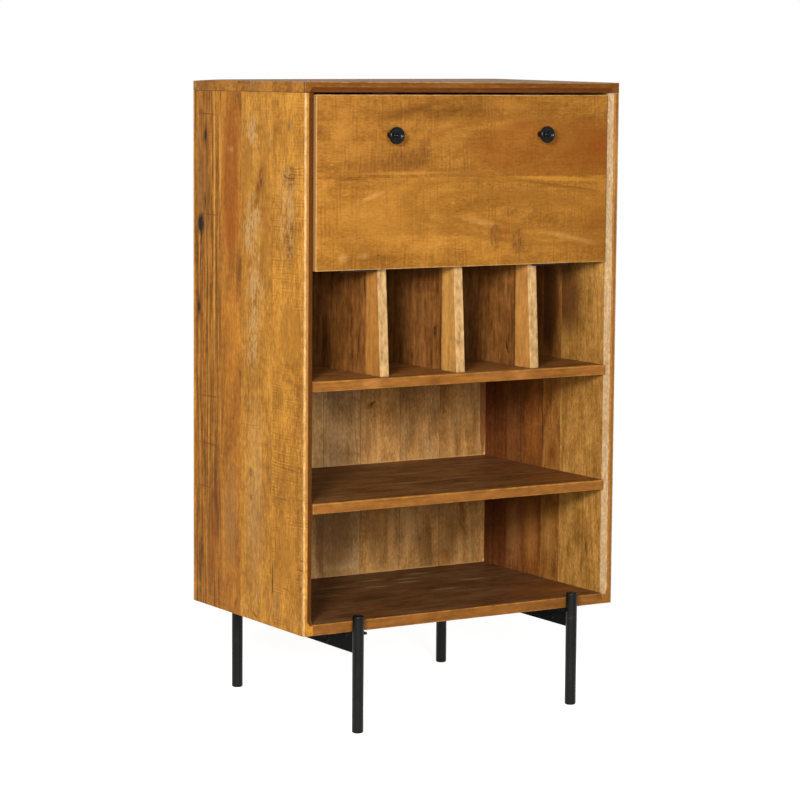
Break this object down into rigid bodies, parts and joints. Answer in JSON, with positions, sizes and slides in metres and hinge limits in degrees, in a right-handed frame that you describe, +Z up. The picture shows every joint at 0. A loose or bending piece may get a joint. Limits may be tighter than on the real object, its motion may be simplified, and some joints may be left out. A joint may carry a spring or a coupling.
{
  "type": "wine cabinet",
  "caption": "Tall narrow drinks cabinet in solid boards on steel rod legs: fall-front bar compartment, bottle dividers below it and open shelves.",
  "frame": {"origin": "on the floor under the middle of the cabinet", "axes": "+Z up, +X to the right as one faces the cabinet, the front faces -Y"},
  "size_m": [0.65, 0.452, 1.12],
  "materials": {
    "side_wood": "oiled mango boards, honey brown with darker grain",
    "frame_wood": "oiled mango boards",
    "back_wood": "mango boards, duller and greyer than the outside",
    "shelf_wood": "mango boards, worn and darker on top",
    "divider_wood": "light mango, sanded fronts",
    "flap_wood": "oiled mango boards with saw marks",
    "dowel_wood": "plain beech",
    "black_steel": "black powder coat, satin",
    "black_knob": "black lacquer on turned metal",
    "hinge_steel": "dark plated steel",
    "stay_steel": "dark plated steel",
    "catch_plastic": "dark brown housing",
    "strike_steel": "zinc plated",
    "screw_steel": "zinc plated"
  },
  "bodies": {
    "cabinet": {"back_board_1": "back_wood", "back_board_2": "back_wood", "back_board_3": "back_wood", "back_board_4": "back_wood", "back_board_5": "back_wood", "back_board_6": "back_wood", "back_board_7": "back_wood", "back_screws": "screw_steel", "bar_floor": "shelf_wood", "bottom_panel": "frame_wood", "cabinet_screws": "screw_steel", "carcass_dowels": "dowel_wood", "catch_left": "catch_plastic", "catch_right": "catch_plastic", "cubby_shelf": "shelf_wood", "divider_1": "divider_wood", "divider_2": "divider_wood", "divider_3": "divider_wood", "hinge_left_fixed_leaf": "hinge_steel", "hinge_left_pin": "hinge_steel", "hinge_right_fixed_leaf": "hinge_steel", "hinge_right_pin": "hinge_steel", "left_side_board_1": "side_wood", "left_side_board_2": "side_wood", "left_side_board_3": "side_wood", "left_side_board_4": "side_wood", "leg_bar_left": "black_steel", "leg_bar_right": "black_steel", "leg_rod_front_left": "black_steel", "leg_rod_front_right": "black_steel", "leg_rod_rear_left": "black_steel", "leg_rod_rear_right": "black_steel", "leg_screws": "screw_steel", "middle_shelf": "shelf_wood", "right_side_board_1": "side_wood", "right_side_board_2": "side_wood", "right_side_board_3": "side_wood", "right_side_board_4": "side_wood", "right_side_board_5": "side_wood", "stay_left_stud": "stay_steel", "stay_right_stud": "stay_steel", "top_panel": "frame_wood"},
    "flap": {"flap_dowels": "dowel_wood", "flap_lower_board": "flap_wood", "flap_screws": "screw_steel", "flap_upper_board": "flap_wood", "hinge_left_flap_leaf": "hinge_steel", "hinge_right_flap_leaf": "hinge_steel", "knob_left": "black_knob", "knob_right": "black_knob", "knob_screws": "screw_steel", "stay_left_bracket": "stay_steel", "stay_left_rivet": "stay_steel", "stay_right_bracket": "stay_steel", "stay_right_rivet": "stay_steel", "strike_left": "strike_steel", "strike_right": "strike_steel"},
    "stay_left": {"stay_left_bar": "stay_steel"},
    "stay_right": {"stay_right_bar": "stay_steel"}
  },
  "joints": [
    {"name": "flap_hinge", "type": "hinge", "parent": "cabinet", "child": "flap", "pos_m": [0, -0.179, 0.7985], "axis": [1, 0, 0], "range_deg": [0, 90]},
    {"name": "stay_left_pivot", "type": "hinge", "parent": "flap", "child": "stay_left", "pos_m": [-0.295, -0.167, 0.943], "axis": [1, 0, 0], "range_deg": [-45, 0]},
    {"name": "stay_right_pivot", "type": "hinge", "parent": "flap", "child": "stay_right", "pos_m": [0.295, -0.167, 0.943], "axis": [1, 0, 0], "range_deg": [-45, 0]}
  ],
  "couplings": [
    {"joint": "stay_left_pivot", "follows": "flap_hinge", "ratio": -0.5},
    {"joint": "stay_right_pivot", "follows": "flap_hinge", "ratio": -0.5}
  ]
}
